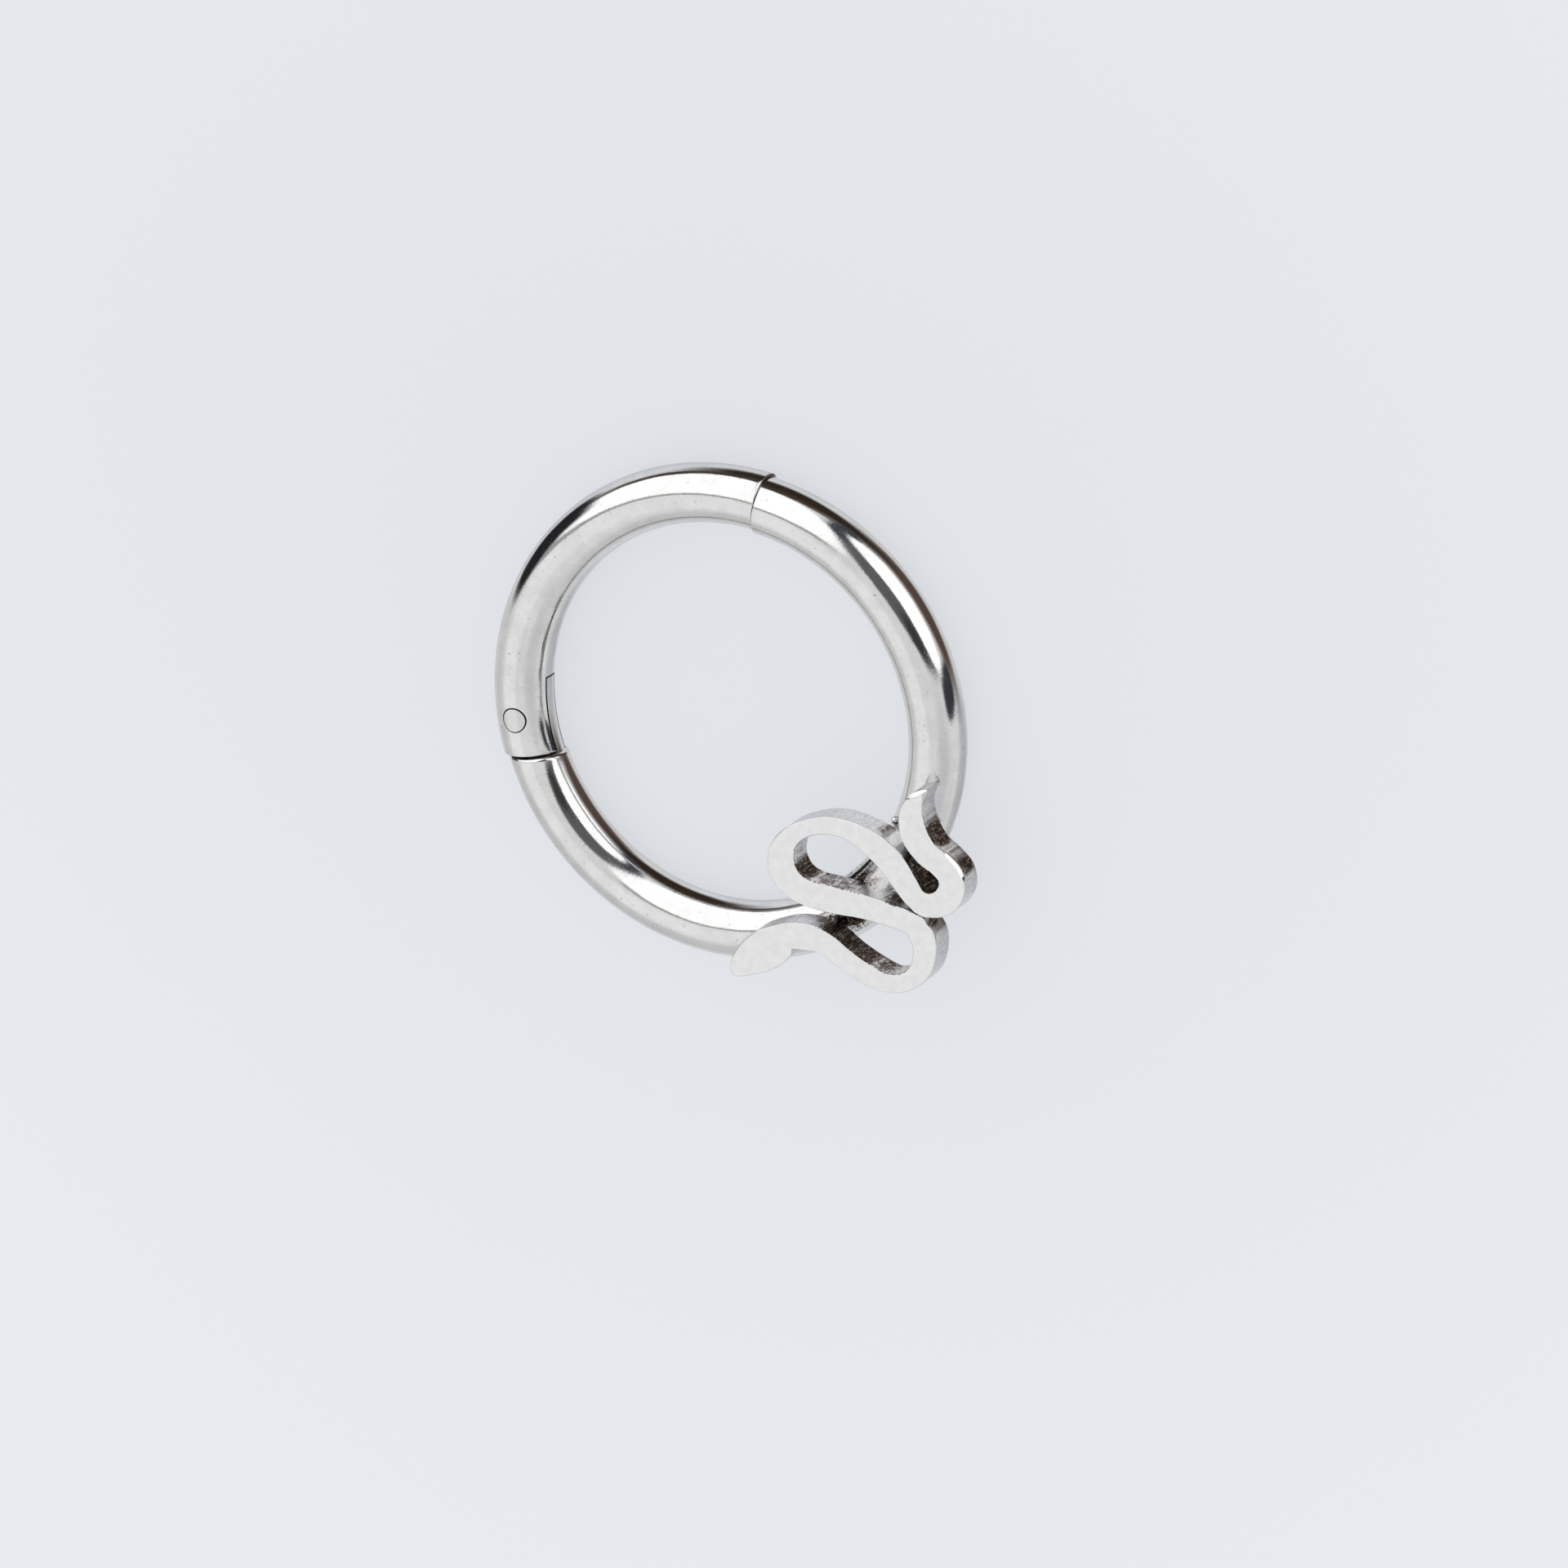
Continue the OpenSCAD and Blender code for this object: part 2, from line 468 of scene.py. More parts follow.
def wire(bend, radius, start, stop, rows, hollow=None):
    """A bent round wire with rounded edges at its two flat ends. hollow gives the depth of a hollow in
    the start's face, from a point's distance to the ring's centre and its height."""
    skin = Skin()
    side = np.linspace(0, 2 * math.pi, SIDES + 1)[None]
    rho = bend + radius * np.cos(side)
    first = start.turn(rho, start.edge_at(side))
    last = stop.turn(rho, stop.edge_at(side))
    turn = first + (last - first) * np.linspace(0, 1, rows)[:, None]
    skin.grid(*on_wire(bend, np.full_like(turn, radius), turn, np.broadcast_to(side, turn.shape)))
    for end in (start, stop):
        lift = np.linspace(0, math.pi / 2, EDGE_STEPS + 1)[:, None]
        edge = end.edge_at(side)
        thin = radius - edge * (1 - np.cos(lift))
        spread = side + 0 * thin
        turn = end.turn(bend + thin * np.cos(spread), edge * (1 - np.sin(lift)))
        points, normals = on_wire(bend, thin, turn, spread)
        skin.grid(points, np.cos(lift)[..., None] * normals + np.sin(lift)[..., None] * end.outward)
        thin = (radius - edge) * np.linspace(1, 0, END_RINGS)[:, None]
        spread = side + 0 * thin
        rho = bend + thin * np.cos(spread)
        inset = 0
        if end is start and hollow:
            inset = hollow(rho, thin * np.sin(spread))
        points, normals = on_wire(bend, thin, end.turn(rho, inset), spread)
        skin.grid(points, None if end is start and hollow else end.outward)
    return skin


# The hoop


def fork_sweep(height):
    """How far a corner of the gate's forked end reaches from the pin, at a height."""
    bend_drop = math.sqrt(GATE_BEND**2 - FORK_REACH**2) - GATE_BEND
    return np.hypot(FORK_REACH, bend_drop + np.sqrt(np.maximum(0, GATE_R**2 - height**2)))


def shoulder_hollow(rho, height):
    """Depth of the hollow in the hoop's shoulder, which the forked end turns in."""
    height = np.maximum(np.abs(height), TONGUE_T / 2)
    outwards = np.sqrt(np.maximum(0, rho**2 - SHOULDER**2)) - GATE_BEND
    reach = fork_sweep(height) + DISH_GAP
    along = np.sqrt(np.maximum(0, reach**2 - outwards**2))
    return np.maximum(0, along - SHOULDER)


def make_hoop():
    """The long arc of wire, from the hinge's shoulder to the seam."""
    start = End(PIN_ANGLE, SHOULDER, 1, SHOULDER_EDGE)
    stop = End(SEAM_ANGLE + 360, -SEAM_GAP / 2, -1, SEAM_EDGE)
    skin = wire(HOOP_BEND, WIRE_R, start, stop, HOOP_ROWS, shoulder_hollow)
    piece = from_skin("hoop_wire", skin)
    mark_soot_and_shade(piece)
    return piece


def tongue_outline(height):
    """The tongue's outline at a height, in the pin's frame."""
    half = math.sqrt(TONGUE_R**2 - height**2)
    root = SHOULDER + TONGUE_ROOT

    def side(radius, along):
        return [(math.sqrt(radius**2 - y**2) - GATE_BEND, y) for y in along]

    outer = side(TONGUE_BEND + half, np.linspace(root, 0, 30))
    nose_r = min(TONGUE_R, outer[-1][0])
    nose_turns = np.linspace(0, -math.pi / 2, 24)[1:]
    nose = [(nose_r * math.cos(t), TONGUE_R * math.sin(t)) for t in nose_turns]
    inner = side(TONGUE_BEND - half, np.linspace(-TONGUE_REACH, root, 40))
    heel = [(0.0, -TONGUE_REACH)]
    return outer + nose + heel + inner


def make_tongue():
    """The hoop's flat tongue with its bore, from loops of points stacked over its thickness."""
    heights = np.linspace(-TONGUE_T / 2, TONGUE_T / 2, TONGUE_LEVELS)
    loops = [at_pin([(x, y, z) for x, y in tongue_outline(z)]) for z in heights]
    count = len(loops[0])
    top = (TONGUE_LEVELS - 1) * count
    faces = [list(range(count))[::-1], [top + i for i in range(count)]]
    for level in range(TONGUE_LEVELS - 1):
        for i in range(count):
            near = level * count + i
            beside = level * count + (i + 1) % count
            faces.append([near, beside, beside + count, near + count])
    piece = new_piece("hinge_tongue", np.concatenate(loops), faces)
    bore = prism("bore", circle_outline(TONGUE_BORE_R, TONGUE_BORE_SIDES), -1, 1)
    bore.data.transform(pin_matrix())
    cut(piece, [bore])
    piece.data.set_sharp_from_angle(angle=math.radians(SHARP_ANGLE))
    return piece


def ball(name, radius, centre, rings=32):
    """A ball as a skin piece."""
    turn = np.linspace(0, 2 * math.pi, 2 * rings + 1)[None]
    rise = np.linspace(-math.pi / 2, math.pi / 2, rings + 1)[:, None]
    flat = np.cos(rise)[..., None] * unit(turn + 0 * rise)
    normals = flat + np.sin(rise + 0 * turn)[..., None] * np.array([0, 0, 1.0])
    skin = Skin()
    skin.grid(np.array(centre) + radius * normals, normals)
    return from_skin(name, skin)


def catch_centre():
    """The middle of the ball that the catch's nub is a cap of."""
    along = math.radians(SEAM_ANGLE)
    middle = (HOOP_BEND + GATE_BEND) / 2
    back = NUB_REACH - NUB_R
    return middle * unit(along) + back * unit(along + math.pi / 2)


# The gate


def gate_normal(points, start, stop):
    """The gate's outward normal at points on its round skin, rounded edges or flat ends."""
    rho = np.hypot(points[:, 0], points[:, 1])
    outward = points * [1, 1, 0] / rho[:, None]
    tube = (rho - GATE_BEND)[:, None] * outward + points * [0, 0, 1]
    tube /= np.maximum(np.linalg.norm(tube, axis=1, keepdims=True), 1e-9)
    side = np.arctan2(points[:, 2], rho - GATE_BEND)
    normals = tube.copy()
    for end in (start, stop):
        along = points @ unit(end.angle + math.pi / 2)
        inset = (along - end.offset) * end.sense
        near = np.abs(points - GATE_BEND * unit(end.angle)).max(1) < END_ZONE
        edge = end.edge_at(side)
        lift = np.clip(1 - inset / edge, 0, 1)
        blended = np.sqrt(1 - lift**2)[:, None] * tube + lift[:, None] * end.outward
        rounded = near & (inset < edge)
        normals[rounded] = blended[rounded]
    return normals


def make_gate():
    """The hinged arc of wire, with its slot, its bore and the catch's hollow cut out."""
    start = End(SEAM_ANGLE, SEAM_GAP / 2, 1, SEAM_EDGE, CHIP)
    stop = End(PIN_ANGLE, FORK_REACH, -1, FORK_EDGE)
    piece = from_skin("gate_wire", wire(GATE_BEND, GATE_R, start, stop, GATE_ROWS))
    slot_outline = [(-1, -SLOT_DEPTH), (1, -SLOT_DEPTH), (1, 1), (-1, 1)]
    slot = prism("slot", slot_outline, -SLOT_W / 2, SLOT_W / 2)
    bore = prism("bore", circle_outline(BORE_R, BORE_SIDES), -1, 1)
    for tool in (slot, bore):
        tool.data.transform(pin_matrix())
    hollow = ball("hollow", NUB_R + NUB_GAP, catch_centre())
    cut(piece, [slot, bore, hollow])
    smooth_gate(piece.data, start, stop)
    return piece


def smooth_gate(mesh, start, stop):
    """Gives the cut gate smooth normals on its skin and in its bore, and flat ones elsewhere."""
    corners = all_points(mesh)[corner_points(mesh)]
    flat = flat_normals(mesh)
    normals = flat.copy()
    skin_normals = gate_normal(corners, start, stop)
    on_skin = (skin_normals * flat).sum(1) > GATE_LIKENESS
    normals[on_skin] = skin_normals[on_skin]
    from_pin = (corners - at_pin([(0, 0, 0)])) * [1, 1, 0]
    at_bore = np.abs(np.linalg.norm(from_pin, axis=1) - BORE_R) < SAME_PLACE
    upright = np.abs(flat[:, 2]) < BORE_RISE
    in_bore = at_bore & upright
    normals[in_bore] = -from_pin[in_bore] / BORE_R
    mesh.normals_split_custom_set(normals.tolist())


def make_pin():
    """The pin, whose two ends follow the gate's round skin."""
    skin = Skin()
    turn = np.linspace(0, 2 * math.pi, SIDES + 1)[None]
    radial = np.stack([np.cos(turn), np.sin(turn), 0 * turn], -1)

    def end_face(radius, sign):
        x = PIN_SHIFT[0] + radius * np.cos(turn)
        y = PIN_SHIFT[1] + radius * np.sin(turn)
        outwards = np.hypot(GATE_BEND + x, y) - GATE_BEND
        height = sign * np.sqrt((GATE_R - PIN_SINK) ** 2 - outwards**2)
        return np.stack([x + 0 * height, y + 0 * height, height], -1), outwards

    lift = np.linspace(0, math.pi / 2, PIN_EDGE_STEPS + 1)[:, None]
    walls = []
    for sign in (1, -1):
        inner, outwards = end_face(np.linspace(0, PIN_R - PIN_EDGE, PIN_RINGS)[:, None], sign)
        inner_normals = np.stack([outwards / GATE_R, 0 * outwards, inner[..., 2] / GATE_R], -1)
        skin.grid(at_pin(inner), turned_at_pin(inner_normals))
        rim, _ = end_face(PIN_R - PIN_EDGE * (1 - np.sin(lift)), sign)
        rim[..., 2] -= sign * PIN_EDGE * (1 - np.cos(lift))
        rim_normals = np.sin(lift)[..., None] * radial + np.cos(lift)[..., None] * [0, 0, sign]
        skin.grid(at_pin(rim), turned_at_pin(rim_normals))
        walls.append(rim[-1])
    skin.grid(at_pin(np.stack(walls)), turned_at_pin(np.concatenate([radial, radial])))
    return from_skin("pin", skin)


# The snake


def spine_points():
    """The smooth curve through the spine's rows: x, y and width, as in the part's source."""
    rows = np.array(SPINE)
    rows = np.vstack([2 * rows[0] - rows[1], rows, 2 * rows[-1] - rows[-2]])
    t = (np.arange(SPINE_STEPS) / SPINE_STEPS)[:, None]
    parts = []
    for i in range(len(SPINE) - 1):
        a, b, c, d = rows[i : i + 4]
        bend = 2 * a - 5 * b + 4 * c - d
        twist = 3 * b - a - 3 * c + d
        parts.append((2 * b + (c - a) * t + bend * t**2 + twist * t**3) / 2)
    parts.append(rows[-2:-1])
    return np.concatenate(parts)


def across(line):
    """Unit normals to the left of a plane line of points."""
    heading = np.gradient(line, axis=0)
    heading /= np.linalg.norm(heading, axis=1, keepdims=True)
    return np.stack([-heading[:, 1], heading[:, 0]], -1)


def noise_line(count, step, seed):
    """Smooth random values from -1 to 1 along a line, with a new value at every `step` points."""
    random = np.random.RandomState(seed)
    knots = random.uniform(-1, 1, int(count / step) + 3)
    place = np.arange(count) / step
    low = place.astype(int)
    t = place - low
    t = t * t * (3 - 2 * t)
    return knots[low] * (1 - t) + knots[low + 1] * t


def snake_edges():
    """The snake's spine, and its two edges as lines of points with their outward normals."""
    spine = spine_points()
    left = across(spine[:, :2])
    edges = []
    for side in (1, -1):
        line = spine[:, :2] + side * spine[:, 2:] / 2 * left
        outward = side * across(line)
        nearness = 1 - np.linalg.norm(line - TOUCH, axis=1) / TOUCH_REACH
        line = line + outward * (TOUCH_GROWTH * np.clip(2 * nearness, 0, 1))[:, None]
        edges.append((line, outward))
    return spine, edges


def edge_profile():
    """The plate's edge from front to back: inset and drop in roundings, share of the wall, and lift."""
    lifts = np.linspace(math.pi / 2, 0, ROUND_STEPS + 1)
    front = [(1 - math.cos(lift), 1 - math.sin(lift), 0, lift) for lift in lifts]
    wall = [(0, 1 - 2 * share, share, 0) for share in np.linspace(0, 1, WALL_STEPS + 1)[1:-1]]
    back = [(inset, -drop, 1, -lift) for inset, drop, _, lift in front[::-1]]
    return front + wall + back


def wall_grid(line, outward, rounding, wear, fall, drag):
    """Points and normals of one side of the plate, from the front's rim over the wall to the back's.
    wear is the bevel's extra width, fall is its slope, and drag is the depth of the lines in the wall,
    which fade out towards the front and the back."""
    front = rounding + wear
    worn = np.clip(wear / rounding, 0, 1)
    front_drop = front * (1 + (fall - 1) * worn)
    points = []
    normals = []
    for inset, drop, share, lift in edge_profile():
        depth = inset * rounding
        rise = lift + 0 * rounding
        if 0 < share < 1:
            depth = depth + DRAG_DEPTH * min(1, 4 * share, 6 * (1 - share)) * drag
            height = PLATE_LOW + rounding + (PLATE_T - front_drop - rounding) * (1 - share)
        elif share == 0:
            along = lift / (math.pi / 2)
            depth = front * (inset + (along - inset) * worn)
            height = PLATE_LOW + PLATE_T - front_drop * (drop + (1 - along - drop) * worn)
            if lift > 0:
                rise = lift + (np.arctan(1 / fall) - lift) * worn
        else:
            height = PLATE_LOW - drop * rounding
        points.append(np.column_stack([line - outward * depth[:, None], height]))
        level = np.column_stack([outward, 0 * rounding])
        normals.append(np.cos(rise)[:, None] * level + np.sin(rise)[:, None] * np.array([0, 0, 1.0]))
    points = np.stack(points)
    normals = np.stack(normals)
    wall = slice(ROUND_STEPS + 1, -ROUND_STEPS - 1)
    slopes = np.cross(np.gradient(points, axis=0), np.gradient(points, axis=1))
    slopes *= np.sign((slopes * normals).sum(2, keepdims=True))
    slopes /= np.linalg.norm(slopes, axis=2, keepdims=True)
    normals[wall] = slopes[wall]
    return points, normals


def worn_edge(line):
    """The bevel along a line: how much wider it is than the rounded edge, and how steeply it falls."""
    width = np.zeros(len(line))
    slope = np.ones(len(line))
    for x, y, reach, extra, fall in WORN:
        away = np.linalg.norm(line - (x, y), axis=1)
        here = extra * np.sqrt(np.clip(1 - (away / reach) ** 2, 0, 1))
        slope[here > width] = fall
        width = np.maximum(width, here)
    return width, slope


def make_snake():
    """The plate as one skin, with the notch behind the jaw cut out."""
    spine, edges = snake_edges()
    rounding = np.minimum(EDGE_ROUNDING, ROUNDING_SHARE * spine[:, 2])
    skin = Skin()
    sides = []
    for number, (line, outward) in enumerate(edges):
        fine = noise_line(len(spine), DRAG_FINE, DRAG_SEED + number)
        coarse = noise_line(len(spine), DRAG_COARSE, DRAG_COARSE_SEED + number)
        wear, fall = worn_edge(line)
        wear = np.minimum(wear, WEAR_SHARE * spine[:, 2])
        drag = 0.5 + 0.3 * fine + 0.2 * coarse
        points, normals = wall_grid(line, outward, rounding, wear, fall, drag)
        skin.grid(points, normals)
        sides.append(points)
    share = np.linspace(0, 1, FACE_STEPS + 1)[:, None, None]
    left, right = sides
    for level, up in ((0, 1.0), (-1, -1.0)):
        skin.grid(left[level] + (right[level] - left[level]) * share, np.array([0, 0, up]))
    for end in (0, -1):
        skin.grid(left[:, end] + (right[:, end] - left[:, end]) * share)
    piece = from_skin("snake_plate", skin)
    smooth = vertex_normals(piece.data)
    cut(piece, [prism("notch", NOTCH, PLATE_LOW - 1, PLATE_LOW + PLATE_T + 1)])
    keep_normals(piece, *smooth)
    mark_soot_and_shade(piece, SOOT_AND_SHADE_STRETCH)
    return piece


def make_solder():
    """The uneven lump of solder that closes the narrow end of the coil from behind."""
    piece = ball("solder_lump", 1, (0, 0, 0), 48)
    wobble = np.random.RandomState(DRAG_SEED).uniform(1.5, 4, (3, 3))
    points = all_points(piece.data)
    swell = 1 + SOLDER_SWELL * np.sin(points @ wobble).sum(1, keepdims=True)
    points = np.array(SOLDER) + points * swell * SOLDER_R
    piece.data.vertices.foreach_set("co", points.ravel())
    piece.data.normals_split_custom_set([(0, 0, 0)] * len(piece.data.loops))
    mark_soot_and_shade(piece)
    return piece


def vertex_normals(mesh):
    """A closed mesh's points, and at each the normal that its corners share."""
    corner_normals = np.zeros(len(mesh.loops) * 3)
    mesh.corner_normals.foreach_get("vector", corner_normals)
    normals = np.zeros((len(mesh.vertices), 3))
    normals[corner_points(mesh)] = corner_normals.reshape(-1, 3)
    return all_points(mesh), normals


def keep_normals(piece, points, normals):
    """Gives a cut piece the smooth normals that its points had before, and leaves new faces flat."""
    tree = KDTree(len(points))
    for i, point in enumerate(points.tolist()):
        tree.insert(point, i)
    tree.balance()
    nearest = [tree.find(vertex.co)[1:] for vertex in piece.data.vertices]
    old = np.array([i for i, _ in nearest])
    known = np.array([distance < SAME_PLACE for _, distance in nearest])
    corners = corner_points(piece.data)
    flat = flat_normals(piece.data)
    smooth = normals[old[corners]]
    use = known[corners] & ((smooth * flat).sum(1) > PLATE_LIKENESS)
    piece.data.normals_split_custom_set(np.where(use[:, None], smooth, flat).tolist())


def mark_soot_and_shade(piece, stretch=1.0):
    """Stores at each point of a piece, still in mm, how much soot and painted shade it gets. stretch makes
    the patches taller, and the worn bevels stay clean."""
    points = all_points(piece.data)
    soot_and_shade = np.zeros(len(points))
    for x, y, z, radius, strength in SOOT_AND_SHADE:
        away = np.linalg.norm((points - (x, y, z)) / (1, 1, stretch), axis=1)
        soot_and_shade = np.maximum(soot_and_shade, strength * np.clip(1.5 - away / radius, 0, 1))
    at_front = points[:, 2] > PLATE_LOW + PLATE_T - CLEAN_DEPTH
    soot_and_shade[at_front & (worn_edge(points[:, :2])[0] > 0)] = 0
    attribute = piece.data.attributes.new("soot_and_shade", "FLOAT", "POINT")
    attribute.data.foreach_set("value", soot_and_shade)


def plate_kinds(mesh):
    """0 for a flat face of the plate or a wall of the tail's tip, 1 for any other wall, and 2 for a
    rounded edge."""
    tail_x, tail_y, _ = SPINE[-1]
    kinds = []
    for face in mesh.polygons:
        rise = abs(face.normal.z)
        on_wall = rise < WALL_RISE
        at_tip = math.hypot(face.center.x - tail_x, face.center.y - tail_y) < TIP_REACH
        satin = rise > FLAT_RISE or on_wall and at_tip
        kinds.append(0 if satin else 1 if on_wall else 2)
    return kinds


def wire_kinds(mesh, bend):
    """0 for a wire's skin, 1 for the faces in its hinge end and for the seam's outermost rim, which get
    painted shade, and
    2 for the rest of the seam's face."""
    kinds = []
    for face in mesh.polygons:
        x, y, z = face.center
        reach = math.hypot(x, y)
        outwards = reach - bend
        from_axis = np.array([x / reach * outwards, y / reach * outwards, z])
        tube = from_axis / max(math.hypot(outwards, z), 1e-9)
        skin = np.dot(tube, face.normal) > SKIN_SHARE
        painted_shade = x < 0 and y < HINGE_TOP_Y or outwards > PAINTED_SHADE_OUTWARDS
        kinds.append(0 if skin else 1 if painted_shade else 2)
    return kinds


# Materials


class Nodes:
    """Short names for building a node tree."""

    def __init__(self, tree):
        self.tree = tree
        tree.nodes.clear()

    def add(self, kind, **settings):
        node = self.tree.nodes.new(kind)
        for name, value in settings.items():
            setattr(node, name, value)
        return node

    def show(self, shader, kind="ShaderNodeOutputMaterial"):
        """Links a shader to the tree's output."""
        self.tree.links.new(shader.outputs[0], self.add(kind).inputs["Surface"])

    def feed(self, node, socket, value):
        """Sets a socket to a value, or links it to another node's output."""
        target = node.inputs[socket]
        if isinstance(value, bpy.types.NodeSocket):
            self.tree.links.new(value, target)
        else:
            target.default_value = value

    def math(self, operation, *values):
        node = self.add("ShaderNodeMath", operation=operation)
        for i, value in enumerate(values):
            self.feed(node, i, value)
        return node.outputs[0]

    def spread(self, value, low, high, to_low=0.0, to_high=1.0):
        """Maps low..high to to_low..to_high, with a smooth start and end."""
        node = self.add("ShaderNodeMapRange", interpolation_type="SMOOTHSTEP")
        sockets = ("Value", "From Min", "From Max", "To Min", "To Max")
        for socket, number in zip(sockets, (value, low, high, to_low, to_high)):
            self.feed(node, socket, number)
        return node.outputs[0]

    def mix(self, share, first, second):
        node = self.add("ShaderNodeMix", data_type="RGBA")
        self.feed(node, "Factor", share)
        self.feed(node, 6, first)
        self.feed(node, 7, second)
        return node.outputs[2]

    def noise(self, vector, scale, detail=2.0, roughness=0.5):
        node = self.add("ShaderNodeTexNoise")
        self.feed(node, "Vector", vector)
        self.feed(node, "Scale", scale)
        self.feed(node, "Detail", detail)
        self.feed(node, "Roughness", roughness)
        return node.outputs["Fac"]

    def stretched(self, vector, scale):
        node = self.add("ShaderNodeMapping")
        self.feed(node, "Vector", vector)
        self.feed(node, "Scale", scale)
        return node.outputs["Vector"]

    def place_in_mm(self):
        """The surface point in mm, which moves with its object."""
        return self.stretched(self.add("ShaderNodeTexCoord").outputs["Object"], (1 / MM,) * 3)

    def stored_soot_and_shade(self):
        """The soot and painted shade that the pieces' points store."""
        return self.add("ShaderNodeAttribute", attribute_name="soot_and_shade").outputs["Fac"]

    def soot_and_shade_share(self, stored, blotches, streaks):
        """How much of the surface is soot and painted shade: the stored patches, with ragged and streaky
        borders.
        """
        ragged = self.math("MULTIPLY_ADD", blotches, 0.9, stored)
        streaky = self.math("MULTIPLY_ADD", streaks, 2.6, ragged)
        return self.spread(streaky, 2.15, 2.5)

    def bump(self, height, distance_mm, strength=1.0, before=None):
        node = self.add("ShaderNodeBump")
        self.feed(node, "Height", height)
        self.feed(node, "Distance", distance_mm * MM)
        self.feed(node, "Strength", strength)
        if before is not None:
            self.feed(node, "Normal", before)
        return node.outputs["Normal"]


def grey(value, tint=(1, 1, 1)):
    """A colour of the given lightness, tinted where a tint is given."""
    return (value * tint[0], value * tint[1], value * tint[2], 1)


def new_material(name):
    """A material and the helper for its node tree."""
    material = bpy.data.materials.new(name)
    material.use_nodes = True
    return material, Nodes(material.node_tree)


def metal(name):
    """A material with its node helper and its metal shader."""
    material, nodes = new_material(name)
    shader = nodes.add("ShaderNodeBsdfPrincipled")
    nodes.feed(shader, "Metallic", 1.0)
    nodes.feed(shader, "Specular Tint", grey(EDGE_TINT))
    nodes.show(shader)
    return material, nodes, shader


def polished_steel():
    """Tumbled and buffed wire: a mirror with a fine haze, shallow waves, a few specks, and soot with painted
    shade where the snake is soldered on."""
    material, nodes, shader = metal("polished_steel")
    place = nodes.place_in_mm()
    haze = nodes.spread(nodes.noise(place, 2.2, 5, 0.65), 0.3, 0.7)
    grain = nodes.noise(place, 22, 3, 0.6)
    waves = nodes.noise(place, 1.6, 1)
    specks = nodes.spread(nodes.noise(place, 30, 1), 0.70, 0.78)
    tone = nodes.mix(haze, grey(0.625, (1, 0.995, 0.988)), grey(0.695, (1, 0.997, 0.992)))
    speckled = nodes.mix(specks, tone, grey(0.5))
    sooty_and_shaded = nodes.soot_and_shade_share(nodes.stored_soot_and_shade(), nodes.noise(place, 7, 3, 0.6), grain)
    nodes.feed(shader, "Base Color", nodes.mix(sooty_and_shaded, speckled, grey(0.05, (1.25, 0.95, 0.8))))
    rough = nodes.spread(haze, 0, 1, 0.11, 0.06)
    nodes.feed(shader, "Roughness", nodes.math("ADD", rough, nodes.math("MULTIPLY", specks, 0.2)))
    wavy = nodes.bump(waves, 0.004)
    nodes.feed(shader, "Normal", nodes.bump(grain, 0.0008, before=wavy))
    return material


def satin_steel():
    """The snake's face: fine satin with a very faint mottle."""
    material, nodes, shader = metal("satin_steel")
    place = nodes.place_in_mm()
    mottle = nodes.noise(place, 5, 4, 0.6)
    grain = nodes.noise(place, 60, 2, 0.6)
    dull = grey(0.69, (1, 0.996, 0.992))
    bright = grey(0.78, (1, 0.998, 0.995))
    nodes.feed(shader, "Base Color", nodes.mix(nodes.spread(mottle, 0.25, 0.75), dull, bright))
    nodes.feed(shader, "Roughness", nodes.spread(mottle, 0.3, 0.7, 0.36, 0.44))
    nodes.feed(shader, "Normal", nodes.bump(grain, 0.0012))
    return material


def cut_wall_steel():
    """The snake's cut walls and the solder: grey drag lines, and brown-black soot and painted shade with
    bare streaks.
    """
    material, nodes, shader = metal("cut_wall_steel")
    place = nodes.place_in_mm()
    drag = nodes.noise(nodes.stretched(place, (26, 26, 3.5)), 1.0, 3, 0.6)
    crumbs = nodes.noise(place, 16, 4, 0.7)
    streaks = nodes.math("MULTIPLY", nodes.math("ADD", drag, crumbs), 0.5)
    blotches = nodes.noise(place, 6, 3, 0.6)
    stored = nodes.stored_soot_and_shade()
    sooty_and_shaded = nodes.soot_and_shade_share(stored, blotches, streaks)
    bare = nodes.spread(streaks, 0.51, 0.58)
    # Near-black and brown soot colours, which also paint the shade in the recesses
    charred_and_shaded = grey(0.016, (1.6, 0.9, 0.5))
    brown = grey(0.06, (1.5, 0.95, 0.62))
    burnt_and_shaded = nodes.mix(nodes.spread(blotches, 0.4, 0.6), charred_and_shaded, brown)
    smoked_and_shaded = nodes.mix(nodes.spread(stored, 0.5, 0.8), grey(0.24, (1.12, 0.98, 0.87)), burnt_and_shaded)
    dark = nodes.mix(bare, smoked_and_shaded, grey(0.41, (1.10, 0.98, 0.89)))
    clean = nodes.mix(nodes.spread(streaks, 0.38, 0.60), grey(0.58), grey(0.77))
    nodes.feed(shader, "Base Color", nodes.mix(sooty_and_shaded, clean, dark))
    nodes.feed(shader, "Roughness", nodes.spread(sooty_and_shaded, 0, 1, 0.26, 0.44))
    bumped = nodes.bump(streaks, 0.012)
    nodes.feed(bumped.node, "Strength", nodes.spread(sooty_and_shaded, 0, 1, 0.2, 1.0))
    nodes.feed(shader, "Normal", bumped)
    return material


def machined_steel(name, tone, roughness):
    """Small turned and milled faces: the pin, the catch's nub and the flat ends at the seam."""
    material, nodes, shader = metal(name)
    place = nodes.place_in_mm()
    marks = nodes.noise(nodes.stretched(place, (12, 12, 30)), 1.0, 2)
    nodes.feed(shader, "Base Color", nodes.mix(marks, grey(tone * 0.9), grey(tone, (1, 0.99, 0.975))))
    nodes.feed(shader, "Roughness", nodes.spread(marks, 0.2, 0.8, roughness * 0.8, roughness * 1.2))
    nodes.feed(shader, "Normal", nodes.bump(marks, 0.002, 0.6))
    return material


